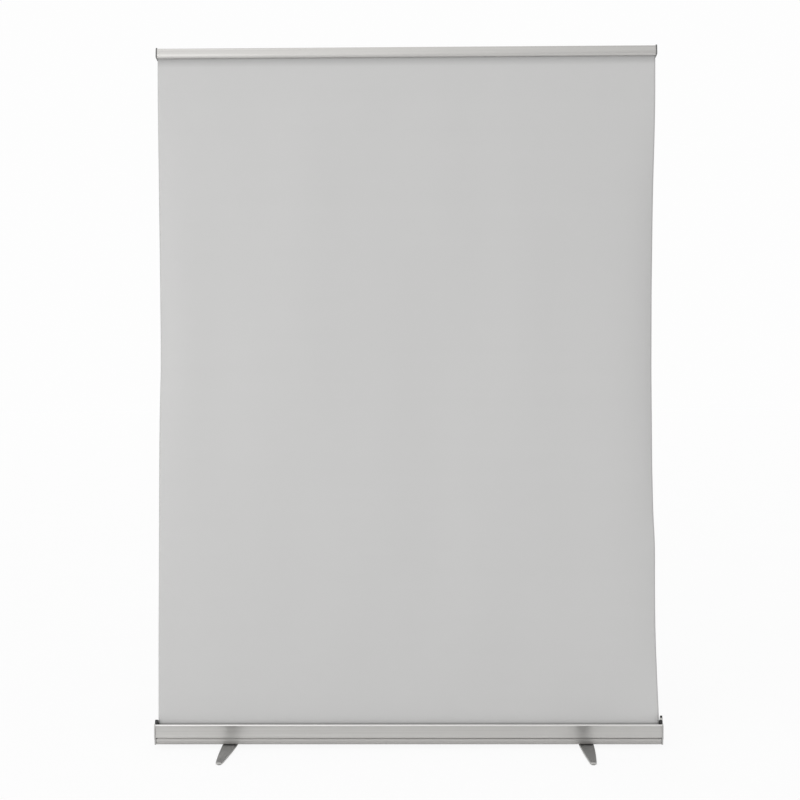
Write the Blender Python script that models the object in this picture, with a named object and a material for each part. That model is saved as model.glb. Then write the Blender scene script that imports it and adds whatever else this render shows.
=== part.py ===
"""Roll-up banner stand, 1500 x 2000 mm graphic.

A retractable banner stand in its standing position: an aluminium cassette with a sprung
roller, two swivelling feet, two telescopic poles and a hinged clamp rail that holds the
top of the graphic. Metres, +Z up. The front of the stand faces -Y, +X is to the right
seen from the front, and the origin is on the floor, under the middle of the feet.
"""

import math

import bmesh
import bpy
from mathutils import Matrix

# ---------------------------------------------------------------- driving dimensions
GAP = 0.0003                 # clearance between pieces that touch
RUNNING = 0.0005             # clearance of telescoping tubes

GRAPHIC_WIDTH = 1.500
GRAPHIC_HEIGHT = 2.000       # visible, from the slot's lip to the clamp rail
GRAPHIC_THICK = 0.0005

CASSETTE_DEPTH = 0.096
CASSETTE_OVERHANG = 0.0057   # profile beyond each edge of the graphic
CASSETTE_WALL = 0.002
LIP_HEIGHT = 0.0733          # top of the front lip above the floor
LIP_RADIUS = 0.0031
FACE_SETBACK = 0.0020        # main face behind the lip
FACE_BOTTOM = 0.0330         # lower edge of the main face
FACE_LEAN = 0.0006           # lower edge of the face behind its upper edge
FACE_EDGE = 0.0008           # break of the face's lower edge
GROOVE_FLOOR = 0.0110        # depth of the groove's floor behind the lip
GROOVE_BOTTOM = 0.0280
BAND_SETBACK = 0.0085        # lower band behind the lip
BAND_EDGE = 0.0010
BAND_CORNER = 0.0035         # front lower corner of the profile
BACK_CORNER = 0.0120         # rear lower corner
SHELF_CORNER = 0.0070        # rear upper corner
SHELF_HEIGHT = 0.0600        # rear shelf that carries the pole sockets
DOME_HEIGHT = 0.0727
SLOT_BACK = 0.0260           # rear edge of the slot, from the front of the lip
SLOT_EDGE = 0.0010
DOME_START = 0.0380          # where the dome leaves its highest line, from the lip
DOME_FOOT = 0.0010           # foot of the dome in front of the shelf
DOME_RISE = 0.0015           # and above it

END_PLATE_THICK = 0.0035
END_PLATE_PROUD = 0.0008     # end plate's outline beyond the profile
BEARING_PLATE_THICK = 0.0044
EAR_HEIGHT = 0.0840          # top of the bearing plate's guide ear
EAR_HEAD_PROUD = 0.0005      # head of the ear beyond the ear itself
EAR_HEAD_INSET = 0.0010      # its outer face inside the end plate's
SCREW_RADIUS = 0.0016
SCREW_LENGTH = 0.0160
SCREW_HEAD_RADIUS = 0.0028
SCREW_HEAD_DEPTH = 0.0015
SCREW_SUNK = 0.0002          # head below the end plate's face
BOSS_RADIUS = 0.0040
REAR_BOSS_SETBACK = 0.0053   # rear boss before the back of the profile

ROLLER_SETBACK = 0.0380      # roller axis behind the front of the lip
ROLLER_HEIGHT = 0.0420
ROLLER_RADIUS = 0.0190
ROLLER_WALL = 0.0012
ROLL_THICK = 0.0012          # leader and graphic still wound on the tube
ROLLER_SHORTER = 0.0040      # each end of the tube, inside the graphic's edge
PLUG_LENGTH = 0.0180
AXLE_RADIUS = 0.0040
SPRING_SHAFT_LENGTH = 0.380
SPRING_COIL_RADIUS = 0.0100
SPRING_WIRE_RADIUS = 0.0009
SPRING_TURNS = 30

PIN_RADIUS = 0.0015
PIN_SETBACK = 0.0110         # pin axis behind the front of the lip
PIN_DEPTH = 0.0080           # shaft in the ear's head
PIN_COLLAR_RADIUS = 0.0045
PIN_COLLAR_HEIGHT = 0.0066
PIN_CAP_HEIGHT = 0.0062
PIN_CAP_WIDTH = 0.0072

FOOT_SPACING = 1.070         # between the two foot pivots
FOOT_LENGTH = 0.370
FOOT_WIDTH = 0.043           # at the pivot
FOOT_TIP_WIDTH = 0.018
FOOT_TIP_CORNER = 0.0030
FOOT_TAPER = 1.7             # how late the sides close in
FOOT_THICK = 0.0067
FOOT_CHAMFER = 0.0012
FOOT_TURN = math.radians(-2.0)   # both feet stand a little off square
PAD_THICK = 0.0020
PAD_RADIUS = 0.0072
WASHER_THICK = 0.0014
WASHER_RADIUS = 0.0170
PIVOT_RADIUS = 0.0040
PIVOT_HEAD_RADIUS = 0.0080
PIVOT_HEAD_HEIGHT = 0.0035
PIVOT_HEAD_RIM = 0.0004
NUT_RADIUS = 0.0070
NUT_HEIGHT = 0.0030

POLE_SPACING = 0.700         # between the two poles
POLE_WALL = 0.0010
POLE_RADIUS = 0.0095         # lower section
POLE_OVERLAP = 0.120         # of neighbouring sections at full height
SOCKET_WALL = 0.0020
SOCKET_FLANGE_WIDTH = 0.0020
SOCKET_TO_BOSS = 0.0004      # socket in front of the rear boss
FLANGE_TO_DOME = 0.0012      # socket flange behind the foot of the dome
SOCKET_FLANGE_THICK = 0.0022
COLLAR_WALL = 0.0035         # around the wider tube
COLLAR_HEIGHT = 0.0420
COLLAR_SEAT = 0.0280         # length of the collar around the wider tube
BUSH_LENGTH = 0.0120
BUSH_FLANGE = 0.0030

RAIL_HEIGHT = 0.030
RAIL_DEPTH_BEHIND = 0.013    # rail body behind the graphic
RAIL_TO_POLE = 0.003         # between the rail's back and the poles
RAIL_WALL = 0.0016
HINGE_BEAD_RADIUS = 0.0016
HINGE_SETBACK = -0.0032      # jaw hinge axis, from the graphic
HINGE_OUTER_RADIUS = 0.0036
CHANNEL_FRONT = 0.0040       # rear T-channel of the rail, from the graphic
CHANNEL_HALF_HEIGHT = 0.0070
CHANNEL_MOUTH_HALF = 0.0040
CHANNEL_MIDDLE = 0.0155      # above the bottom of the rail
RAIL_CAP_THICK = 0.0036
RAIL_CAP_PROUD = 0.0022
HEAD_WIDTH = 0.012
HEAD_NECK = 0.0070           # from the upper tube's end to the channel's mouth
CLAMP_PLAY = 0.00035         # between the graphic and each clamp face

# ---------------------------------------------------------------- derived places
FRONT = -CASSETTE_DEPTH / 2
UNDERSIDE = PAD_THICK + GAP + FOOT_THICK + GAP + WASHER_THICK + GAP
PROFILE_HALF = GRAPHIC_WIDTH / 2 + CASSETTE_OVERHANG
ROLLER_Y = FRONT + ROLLER_SETBACK
ROLL_RADIUS = ROLLER_RADIUS + GAP + ROLL_THICK
GRAPHIC_FOOT_Y = ROLLER_Y - ROLL_RADIUS - GAP - GRAPHIC_THICK / 2
SOCKET_RADIUS = POLE_RADIUS + GAP + SOCKET_WALL
SOCKET_FLANGE_RADIUS = SOCKET_RADIUS + SOCKET_FLANGE_WIDTH
POLE_SETBACK = CASSETTE_DEPTH - REAR_BOSS_SETBACK - BOSS_RADIUS - SOCKET_TO_BOSS - SOCKET_RADIUS
SHELF_START = POLE_SETBACK - SOCKET_FLANGE_RADIUS - FLANGE_TO_DOME
COLLAR_RADIUS = POLE_RADIUS + COLLAR_WALL
POLE_Y = FRONT + POLE_SETBACK
RAIL_BOTTOM = LIP_HEIGHT + GRAPHIC_HEIGHT
RAIL_TOP = RAIL_BOTTOM + RAIL_HEIGHT
MIDDLE_POLE_RADIUS = POLE_RADIUS - POLE_WALL - RUNNING
UPPER_POLE_RADIUS = MIDDLE_POLE_RADIUS - POLE_WALL - RUNNING
RAIL_Y = POLE_Y - UPPER_POLE_RADIUS - RAIL_TO_POLE - RAIL_DEPTH_BEHIND
SOCKET_FLOOR = UNDERSIDE + CASSETTE_WALL + GAP
POLE_BOTTOM = SOCKET_FLOOR + SOCKET_WALL + GAP
HEAD_SEAT = RAIL_BOTTOM + CHANNEL_MIDDLE - CHANNEL_MOUTH_HALF - HEAD_NECK
SECTION_LENGTH = (HEAD_SEAT - POLE_BOTTOM + 2 * POLE_OVERLAP) / 3
HINGE_Y = RAIL_Y + HINGE_SETBACK
HINGE_Z = RAIL_TOP - HINGE_OUTER_RADIUS
BEARING_OUTER = PROFILE_HALF - GAP
BEARING_INNER = BEARING_OUTER - BEARING_PLATE_THICK
EAR_TOP = EAR_HEIGHT + EAR_HEAD_PROUD
EAR_OUTER = PROFILE_HALF + GAP + END_PLATE_THICK - EAR_HEAD_INSET
PIN_X = (BEARING_INNER + EAR_OUTER) / 2
PIN_Y = FRONT + PIN_SETBACK
CLAMP_FACE = GRAPHIC_THICK / 2 + CLAMP_PLAY
SIDES = {"left": -1, "right": 1}

BOSSES = (                   # screw bosses of the profile: distance behind the lip, height
    (BAND_SETBACK + 0.0065, UNDERSIDE + 0.0070),
    (CASSETTE_DEPTH - REAR_BOSS_SETBACK, UNDERSIDE + 0.0080),
    (FACE_SETBACK + 0.0062, LIP_HEIGHT - 0.0153),
)


# ---------------------------------------------------------------- helpers
def clear_scene():
    for obj in list(bpy.data.objects):
        bpy.data.objects.remove(obj, do_unlink=True)


def make_material(name, colour, roughness, metallic):
    material = bpy.data.materials.new(name)
    material.use_nodes = True
    shader = material.node_tree.nodes["Principled BSDF"]
    shader.inputs["Base Color"].default_value = (*colour, 1.0)
    shader.inputs["Roughness"].default_value = roughness
    shader.inputs["Metallic"].default_value = metallic
    material.diffuse_color = (*colour, 1.0)
    return material


def add_empty(name, location, turn=0.0):
    empty = bpy.data.objects.new(name, None)
    empty.empty_display_size = 0.05
    empty.location = location
    empty.rotation_euler = (0.0, 0.0, turn)
    bpy.context.scene.collection.objects.link(empty)
    return empty


def add_object(name, bm, material, parent=None, location=(0.0, 0.0, 0.0), sharp=35.0):
    """Make a mesh object from bm. Its faces are turned to point out."""
    bmesh.ops.recalc_face_normals(bm, faces=bm.faces)
    mesh = bpy.data.meshes.new(name)
    bm.to_mesh(mesh)
    bm.free()
    mesh.shade_smooth()
    mesh.set_sharp_from_angle(angle=math.radians(sharp))
    obj = bpy.data.objects.new(name, mesh)
    obj.data.materials.append(material)
    obj.location = location
    obj.parent = parent
    bpy.context.scene.collection.objects.link(obj)
    return obj


def as_cutter(obj):
    obj.hide_render = True
    obj.display_type = "WIRE"
    return obj


def boolean(obj, other, operation):
    modifier = obj.modifiers.new(operation.lower(), "BOOLEAN")
    modifier.operation = operation
    modifier.object = other
    as_cutter(other)


def arc(centre_a, centre_b, radius, start, end, steps):
    """Points of an arc in a section plane. Angles in degrees, from the first axis."""
    points = []
    for i in range(steps + 1):
        angle = math.radians(start + (end - start) * i / steps)
        points.append((centre_a + radius * math.cos(angle), centre_b + radius * math.sin(angle)))
    return points


def extruded(bm, outline, start, end):
    """Extrude a closed (y, z) outline along X, from start to end."""
    near = [bm.verts.new((start, y, z)) for y, z in outline]
    far = [bm.verts.new((end, y, z)) for y, z in outline]
    bm.faces.new(near)
    bm.faces.new(far)
    count = len(outline)
    for i in range(count):
        j = (i + 1) % count
        bm.faces.new((near[i], near[j], far[j], far[i]))
    return bm


def extruded_up(bm, levels):
    """Join (z, outline) levels into a solid. Every (x, y) outline has the same count."""
    rings = []
    for height, points in levels:
        rings.append([bm.verts.new((x, y, height)) for x, y in points])
    bm.faces.new(rings[0])
    bm.faces.new(rings[-1])
    count = len(rings[0])
    for lower, upper in zip(rings, rings[1:]):
        for i in range(count):
            j = (i + 1) % count
            bm.faces.new((lower[i], lower[j], upper[j], upper[i]))
    return bm


def turned(bm, profile, steps, axis="Z", centre=(0.0, 0.0, 0.0), phase=0.0):
    """Turn a (radius, height) profile about an axis through centre.

    A profile that starts and ends on the axis is a solid, any other is a closed ring.
    """
    solid = profile[0][0] == 0.0 and profile[-1][0] == 0.0
    verts = [bm.verts.new((radius, 0.0, height)) for radius, height in profile]
    edges = [bm.edges.new(pair) for pair in zip(verts, verts[1:])]
    if not solid:
        edges.append(bm.edges.new((verts[-1], verts[0])))
    before = set(bm.verts) - set(verts)
    bmesh.ops.spin(bm, geom=verts + edges, cent=(0, 0, 0), axis=(0, 0, 1), dvec=(0, 0, 0),
                   angle=math.tau, steps=steps, use_merge=True, use_duplicate=False)
    made = [v for v in bm.verts if v not in before]
    bmesh.ops.remove_doubles(bm, verts=made, dist=1e-6)
    made = [v for v in bm.verts if v not in before]
    turn = Matrix.Rotation(phase, 4, "Z")
    if axis == "X":
        turn = Matrix.Rotation(math.pi / 2, 4, "Y") @ turn
    bmesh.ops.transform(bm, matrix=Matrix.Translation(centre) @ turn, verts=made)
    return bm


def ring_profile(inner, outer, low, high):
    return [(inner, low), (outer, low), (outer, high), (inner, high)]


def rod_profile(radius, low, high):
    return [(0.0, low), (radius, low), (radius, high), (0.0, high)]


# ---------------------------------------------------------------- cassette
def behind_lip(points):
    """Turn (distance behind the lip, height) into world (y, z)."""
    return [(FRONT + back, height) for back, height in points]


def cassette_outer():
    """Outside of the cassette's section, from the lip down the front and round to the slot."""
    lip = arc(LIP_RADIUS, LIP_HEIGHT - LIP_RADIUS, LIP_RADIUS, 0, 222, 9)
    points = list(lip)
    points.append((FACE_SETBACK, LIP_HEIGHT - 2.3 * LIP_RADIUS))
    points.append((FACE_SETBACK + FACE_LEAN, FACE_BOTTOM + FACE_EDGE))
    points.append((FACE_SETBACK + FACE_LEAN + FACE_EDGE, FACE_BOTTOM))
    points.append((GROOVE_FLOOR, FACE_BOTTOM))
    points.append((GROOVE_FLOOR, GROOVE_BOTTOM))
    points.append((BAND_SETBACK + BAND_EDGE, GROOVE_BOTTOM))
    points.append((BAND_SETBACK, GROOVE_BOTTOM - BAND_EDGE))
    points += arc(BAND_SETBACK + BAND_CORNER, UNDERSIDE + BAND_CORNER, BAND_CORNER, 180, 270, 3)
    points += arc(CASSETTE_DEPTH - BACK_CORNER, UNDERSIDE + BACK_CORNER, BACK_CORNER, 270, 360, 5)
    points += arc(CASSETTE_DEPTH - SHELF_CORNER, SHELF_HEIGHT - SHELF_CORNER, SHELF_CORNER,
                  0, 90, 4)
    points.append((SHELF_START, SHELF_HEIGHT))
    points += dome(DOME_HEIGHT)
    return points


def dome(top):
    """The rounded top of the cassette, from the shelf forwards to the slot."""
    points = []
    steps = 6
    drop = top - SHELF_HEIGHT - DOME_RISE
    reach = SHELF_START - DOME_FOOT - DOME_START
    for i in range(steps + 1):
        angle = math.pi / 2 * i / steps
        points.append((DOME_START + reach * math.cos(angle),
                       top - drop + drop * math.sin(angle)))
    return points


def cassette_inner():
    """Inside of the section, from the slot's rear edge back round to the lip."""
    wall = CASSETTE_WALL
    inner_top = DOME_HEIGHT - wall
    points = arc(SLOT_BACK + SLOT_EDGE, DOME_HEIGHT - SLOT_EDGE, SLOT_EDGE, 90, 180, 3)
    points.append((SLOT_BACK, inner_top - SLOT_EDGE))
    points.append((SLOT_BACK + wall, inner_top - SLOT_EDGE))
    points.append((DOME_START, inner_top))
    steps = 5
    low = SHELF_HEIGHT - wall
    reach = SHELF_START - wall - DOME_FOOT - DOME_START
    for i in range(1, steps + 1):
        angle = math.pi / 2 * (1 - i / steps)
        points.append((DOME_START + reach * math.cos(angle),
                       low + DOME_RISE + (inner_top - low - DOME_RISE) * math.sin(angle)))
    points.append((SHELF_START - wall, low))
    points += arc(CASSETTE_DEPTH - SHELF_CORNER, SHELF_HEIGHT - SHELF_CORNER, SHELF_CORNER - wall,
                  90, 0, 3)
    front_low, rear_low, front_high = BOSSES
    rear_wall = CASSETTE_DEPTH - wall
    floor = UNDERSIDE + wall
    points.append((rear_wall, rear_low[1] + BOSS_RADIUS))
    points += arc(rear_low[0], rear_low[1], BOSS_RADIUS, 90, 180, 4)
    points.append((rear_low[0] - BOSS_RADIUS, floor))
    points.append((front_low[0] + BOSS_RADIUS, floor))
    points += arc(front_low[0], front_low[1], BOSS_RADIUS, 0, 90, 4)
    points.append((GROOVE_FLOOR + wall, front_low[1] + BOSS_RADIUS))
    points.append((GROOVE_FLOOR + wall, FACE_BOTTOM + wall))
    points.append((FACE_SETBACK + FACE_LEAN + wall, FACE_BOTTOM + wall))
    points.append((FACE_SETBACK + wall, front_high[1] - BOSS_RADIUS))
    points += arc(front_high[0], front_high[1], BOSS_RADIUS, 270, 450, 6)
    points.append((FACE_SETBACK + wall, front_high[1] + BOSS_RADIUS + 0.0004))
    points.append((2 * LIP_RADIUS - 0.0010, LIP_HEIGHT - 2.1 * LIP_RADIUS))
    return points


def make_cassette():
    outline = behind_lip(cassette_outer() + cassette_inner())
    bm = extruded(bmesh.new(), outline, -PROFILE_HALF, PROFILE_HALF)
    profile = add_object("cassette_profile", bm, MATERIALS["aluminium"])
    cuts = bmesh.new()
    for side in SIDES.values():
        pole_x = side * POLE_SPACING / 2
        turned(cuts, rod_profile(SOCKET_RADIUS + GAP, SHELF_HEIGHT - 0.006, SHELF_HEIGHT + 0.006),
               24, centre=(pole_x, POLE_Y, 0.0))
        foot_x = side * FOOT_SPACING / 2
        turned(cuts, rod_profile(PIVOT_RADIUS + GAP, UNDERSIDE - 0.004, UNDERSIDE + 0.006),
               16, centre=(foot_x, 0.0, 0.0))
        for back, height in BOSSES:
            reach = (SCREW_LENGTH + 0.002) * side
            low, high = sorted((PROFILE_HALF * side - reach, PROFILE_HALF * side + 0.004 * side))
            turned(cuts, rod_profile(SCREW_RADIUS + GAP, low, high), 10, axis="X",
                   centre=(0.0, FRONT + back, height))
    boolean(profile, add_object("cassette_cuts", cuts, MATERIALS["aluminium"]), "DIFFERENCE")
    for name, side in SIDES.items():
        make_end_plate(name, side)
        make_bearing_plate(name, side)
        make_end_screws(name, side)
        make_pole_socket(name, side)
        make_foot_pivot(name, side)


def make_end_plate(name, side):
    """Flat plate that closes one end of the cassette, with countersinks for its screws."""
    proud = END_PLATE_PROUD
    back = CASSETTE_DEPTH + proud
    low = UNDERSIDE - proud
    corner = 0.006
    points = arc(corner - 0.001, LIP_HEIGHT + proud - corner, corner - 0.001 + proud, 90, 180, 4)
    points.append((-proud + FACE_SETBACK * 0.4, FACE_BOTTOM))
    points.append((BAND_SETBACK - 0.004, GROOVE_BOTTOM - 0.004))
    points += arc(BAND_SETBACK + 0.002, low + corner, corner, 190, 270, 4)
    points += arc(back - BACK_CORNER, low + BACK_CORNER, BACK_CORNER, 270, 360, 5)
    points += arc(back - 0.008, SHELF_HEIGHT + proud - 0.008, 0.008, 0, 90, 4)
    points.append((SHELF_START + 0.001, SHELF_HEIGHT + proud))
    points += [(a + proud * 0.6, h + proud) for a, h in dome(DOME_HEIGHT)[1:]]
    inner, outer = PROFILE_HALF + GAP, PROFILE_HALF + GAP + END_PLATE_THICK
    bm = extruded(bmesh.new(), behind_lip(points), side * inner, side * outer)
    plate = add_object("cassette_end_plate_" + name, bm, MATERIALS["painted"])
    cuts = bmesh.new()
    for boss_back, height in BOSSES:
        centre = (0.0, FRONT + boss_back, height)
        rim = outer - SCREW_SUNK
        sink = [(0.0, inner - 0.002), (SCREW_RADIUS + GAP, inner - 0.002),
                (SCREW_RADIUS + GAP, rim - SCREW_HEAD_DEPTH), (SCREW_HEAD_RADIUS + GAP, rim),
                (SCREW_HEAD_RADIUS + GAP, outer + 0.002), (0.0, outer + 0.002)]
        turned(cuts, [(r, side * h) for r, h in sink], 10, axis="X", centre=centre)
    boolean(plate, add_object("end_plate_cuts_" + name, cuts, MATERIALS["painted"]), "DIFFERENCE")
    return plate


def make_end_screws(name, side):
    """Countersunk screws through the end plate into the profile's bosses."""
    rim = PROFILE_HALF + GAP + END_PLATE_THICK - SCREW_SUNK
    shape = [(0.0, PROFILE_HALF - SCREW_LENGTH), (SCREW_RADIUS, PROFILE_HALF - SCREW_LENGTH),
             (SCREW_RADIUS, rim - SCREW_HEAD_DEPTH), (SCREW_HEAD_RADIUS, rim), (0.0, rim)]
    for number, (boss_back, height) in enumerate(BOSSES, start=1):
        bm = turned(bmesh.new(), [(r, side * h) for r, h in shape], 10, axis="X",
                    centre=(0.0, FRONT + boss_back, height))
        add_object(f"end_plate_screw_{name}_{number}", bm, MATERIALS["steel"])


def bearing_outline():
    """Inside of the profile less a clearance, with the guide ear standing up in the slot."""
    clear = 0.0004
    front_low, rear_low, front_high = BOSSES
    wall = CASSETTE_WALL + clear
    floor = UNDERSIDE + wall
    keep = BOSS_RADIUS + clear
    ear_front = 2 * LIP_RADIUS + 0.0012
    points = [(GROOVE_FLOOR + wall, front_low[1] + keep), (GROOVE_FLOOR + wall, FACE_BOTTOM + wall),
              (FACE_SETBACK + FACE_LEAN + wall, FACE_BOTTOM + wall),
              (FACE_SETBACK + wall + 0.0002, front_high[1] - keep),
              (front_high[0] + keep, front_high[1] - keep),
              (front_high[0] + keep, front_high[1] + keep),
              (ear_front, front_high[1] + keep + 0.0010), (ear_front, EAR_HEIGHT - 0.0060)]
    points += arc(ear_front + 0.0055, EAR_HEIGHT - 0.0055, 0.0055, 175, 80, 4)
    points += [(SLOT_BACK - 0.0030, LIP_HEIGHT), (SLOT_BACK - 0.0015, DOME_HEIGHT - wall - SLOT_EDGE),
               (SLOT_BACK + wall, DOME_HEIGHT - wall - SLOT_EDGE)]
    steps = 4
    reach = SHELF_START - wall - 0.0022 - DOME_START
    rise = DOME_HEIGHT - wall - 0.0008 - (SHELF_HEIGHT - wall)
    for i in range(steps + 1):
        angle = math.pi / 2 * (1 - i / steps)
        points.append((DOME_START + reach * math.cos(angle),
                       SHELF_HEIGHT - wall + rise * math.sin(angle)))
    points += [(CASSETTE_DEPTH - wall - 0.006, SHELF_HEIGHT - wall),
               (CASSETTE_DEPTH - wall, SHELF_HEIGHT - wall - 0.006),
               (CASSETTE_DEPTH - wall, rear_low[1] + keep), (rear_low[0] - keep, rear_low[1] + keep),
               (rear_low[0] - keep, floor), (front_low[0] + keep, floor),
               (front_low[0] + keep, front_low[1] + keep)]
    return points


def ear_head_outline():
    """Head of the guide ear, which reaches out over the end plate."""
    front = 2 * LIP_RADIUS + 0.0012 - EAR_HEAD_PROUD
    low = LIP_HEIGHT + END_PLATE_PROUD + GAP
    corner = 0.0055
    points = [(front, low)]
    points += arc(front + corner, EAR_TOP - corner, corner, 180, 80, 4)
    points.append((SLOT_BACK - 0.0030 + EAR_HEAD_PROUD, low))
    return points


def make_bearing_plate(name, side):
    """Plastic plate inside the profile's end: carries the roller and guides the graphic's edge."""
    outline = behind_lip(bearing_outline())
    bm = extruded(bmesh.new(), outline, side * BEARING_INNER, side * BEARING_OUTER)
    plate = add_object("bearing_plate_" + name, bm, MATERIALS["black_plastic"])
    head = extruded(bmesh.new(), behind_lip(ear_head_outline()), side * (BEARING_INNER - GAP),
                    side * EAR_OUTER)
    boolean(plate, add_object("ear_head_" + name, head, MATERIALS["black_plastic"]), "UNION")
    low, high = sorted((side * (BEARING_INNER - 0.003), side * (BEARING_OUTER + 0.003)))
    cuts = turned(bmesh.new(), rod_profile(AXLE_RADIUS + GAP, low, high), 6, axis="X",
                  centre=(0.0, ROLLER_Y, ROLLER_HEIGHT))
    if name == "right":
        hole = rod_profile(PIN_RADIUS + GAP, EAR_TOP - PIN_DEPTH - GAP, EAR_TOP + 0.004)
        turned(cuts, hole, 10, centre=(PIN_X, PIN_Y, 0.0))
    cutter = add_object("bearing_cuts_" + name, cuts, MATERIALS["black_plastic"])
    boolean(plate, cutter, "DIFFERENCE")
    return plate


def make_pole_socket(name, side):
    """Plastic cup that stands on the cassette's floor and comes out through its shelf."""
    outer, inner = SOCKET_RADIUS, POLE_RADIUS + GAP
    flange_low = SHELF_HEIGHT + GAP
    flange_top = flange_low + SOCKET_FLANGE_THICK
    profile = [(0.0, SOCKET_FLOOR), (outer, SOCKET_FLOOR), (outer, flange_low),
               (SOCKET_FLANGE_RADIUS, flange_low), (SOCKET_FLANGE_RADIUS, flange_top - 0.0008),
               (SOCKET_FLANGE_RADIUS - 0.0008, flange_top), (inner, flange_top),
               (inner, SOCKET_FLOOR + SOCKET_WALL), (0.0, SOCKET_FLOOR + SOCKET_WALL)]
    bm = turned(bmesh.new(), profile, 24, centre=(side * POLE_SPACING / 2, POLE_Y, 0.0))
    return add_object("pole_socket_" + name, bm, MATERIALS["black_plastic"])


# ---------------------------------------------------------------- feet
def foot_outline(inset):
    """Outline of a foot: widest at the pivot, tapering to two square tips with round corners."""
    half, tip = FOOT_LENGTH / 2 - inset, FOOT_TIP_WIDTH / 2 - inset
    wide = FOOT_WIDTH / 2 - inset
    steps = 8
    corner = FOOT_TIP_CORNER
    straight = half - corner
    side_points = []
    for i in range(steps):
        t = i / steps
        side_points.append((wide - (wide - tip) * t ** FOOT_TAPER, -straight * t))
    tip_points = arc(tip - corner, -straight, corner, 0, -90, 3)
    tip_points += arc(corner - tip, -straight, corner, -90, -180, 3)
    front = side_points[1:] + tip_points + [(-x, y) for x, y in reversed(side_points[1:])]
    return front + [(-wide, 0.0)] + [(-x, -y) for x, y in front] + [(wide, 0.0)]


def make_foot(name, side, turn):
    """A foot, its pads and the pivot empty that carries them."""
    pivot = add_empty("foot_pivot_" + name, (side * FOOT_SPACING / 2, 0.0, 0.0), turn)
    low = PAD_THICK + GAP
    high = low + FOOT_THICK
    flat, top = foot_outline(0.0), foot_outline(FOOT_CHAMFER)
    bm = extruded_up(bmesh.new(), ((low, flat), (high - FOOT_CHAMFER, flat), (high, top)))
    foot = add_object("foot_" + name, bm, MATERIALS["foot_grey"], parent=pivot)
    sink = [(0.0, low - 0.002), (PIVOT_HEAD_RADIUS + GAP, low - 0.002),
            (PIVOT_HEAD_RADIUS + GAP, low + PIVOT_HEAD_RIM + 0.0002),
            (PIVOT_RADIUS + GAP, low + PIVOT_HEAD_HEIGHT), (PIVOT_RADIUS + GAP, high + 0.002),
            (0.0, high + 0.002)]
    cut = add_object("foot_cut_" + name, turned(bmesh.new(), sink, 20), MATERIALS["foot_grey"],
                     parent=pivot)
    boolean(foot, cut, "DIFFERENCE")
    reach = FOOT_LENGTH / 2 - FOOT_TIP_WIDTH / 2
    for end, where in ((-1, "front"), (1, "rear")):
        pad = turned(bmesh.new(), rod_profile(PAD_RADIUS, 0.0, PAD_THICK), 16,
                     centre=(0.0, end * reach, 0.0))
        add_object(f"foot_pad_{name}_{where}", pad, MATERIALS["rubber"], parent=pivot)


def make_foot_pivot(name, side):
    """Countersunk pivot bolt, friction washer and the nut inside the cassette."""
    centre = (side * FOOT_SPACING / 2, 0.0, 0.0)
    low = PAD_THICK + GAP + 0.0001
    washer_low = PAD_THICK + GAP + FOOT_THICK + GAP
    nut_low = UNDERSIDE + CASSETTE_WALL + GAP
    bolt = [(0.0, low), (PIVOT_HEAD_RADIUS, low), (PIVOT_HEAD_RADIUS, low + PIVOT_HEAD_RIM),
            (PIVOT_RADIUS, low + PIVOT_HEAD_HEIGHT), (PIVOT_RADIUS, nut_low + NUT_HEIGHT + 0.001),
            (0.0, nut_low + NUT_HEIGHT + 0.001)]
    bm = turned(bmesh.new(), bolt, 20, centre=centre)
    add_object("foot_bolt_" + name, bm, MATERIALS["steel"])
    ring = ring_profile(PIVOT_RADIUS + GAP, WASHER_RADIUS, washer_low, washer_low + WASHER_THICK)
    add_object("foot_washer_" + name, turned(bmesh.new(), ring, 24, centre=centre),
               MATERIALS["black_plastic"])
    hexagon = turned(bmesh.new(), rod_profile(NUT_RADIUS, nut_low, nut_low + NUT_HEIGHT), 6,
                     centre=centre)
    nut = add_object("foot_nut_" + name, hexagon, MATERIALS["steel"])
    bore = rod_profile(PIVOT_RADIUS + GAP, nut_low - 0.002, nut_low + NUT_HEIGHT + 0.002)
    cut = add_object("foot_nut_bore_" + name, turned(bmesh.new(), bore, 20, centre=centre),
                     MATERIALS["steel"])
    boolean(nut, cut, "DIFFERENCE")


# ---------------------------------------------------------------- roller
def make_roller():
    """Sprung roller inside the cassette. Its empty lies on the roller's axis."""
    axis = add_empty("roller_axis", (0.0, ROLLER_Y, ROLLER_HEIGHT))
    half = GRAPHIC_WIDTH / 2 - ROLLER_SHORTER
    bore = ROLLER_RADIUS - ROLLER_WALL
    tube = turned(bmesh.new(), ring_profile(bore, ROLLER_RADIUS, -half, half), 28, axis="X")
    add_object("roller_tube", tube, MATERIALS["galvanised"], parent=axis)
    wound = GRAPHIC_WIDTH / 2
    roll = ring_profile(ROLLER_RADIUS + GAP, ROLL_RADIUS, -wound, wound)
    add_object("graphic_roll", turned(bmesh.new(), roll, 28, axis="X"), MATERIALS["film_back"],
               parent=axis)
    for name, side in SIDES.items():
        end = half + 0.0036
        plug = [(AXLE_RADIUS + GAP, half - PLUG_LENGTH), (bore - GAP, half - PLUG_LENGTH),
                (bore - GAP, half + GAP), (ROLLER_RADIUS - 0.0010, half + GAP),
                (ROLLER_RADIUS - 0.0010, end), (AXLE_RADIUS + GAP, end)]
        plug_mesh = turned(bmesh.new(), [(r, side * h) for r, h in plug], 24, axis="X")
        add_object("roller_plug_" + name, plug_mesh, MATERIALS["white_plastic"], parent=axis)
    make_roller_shafts(axis, half)


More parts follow.
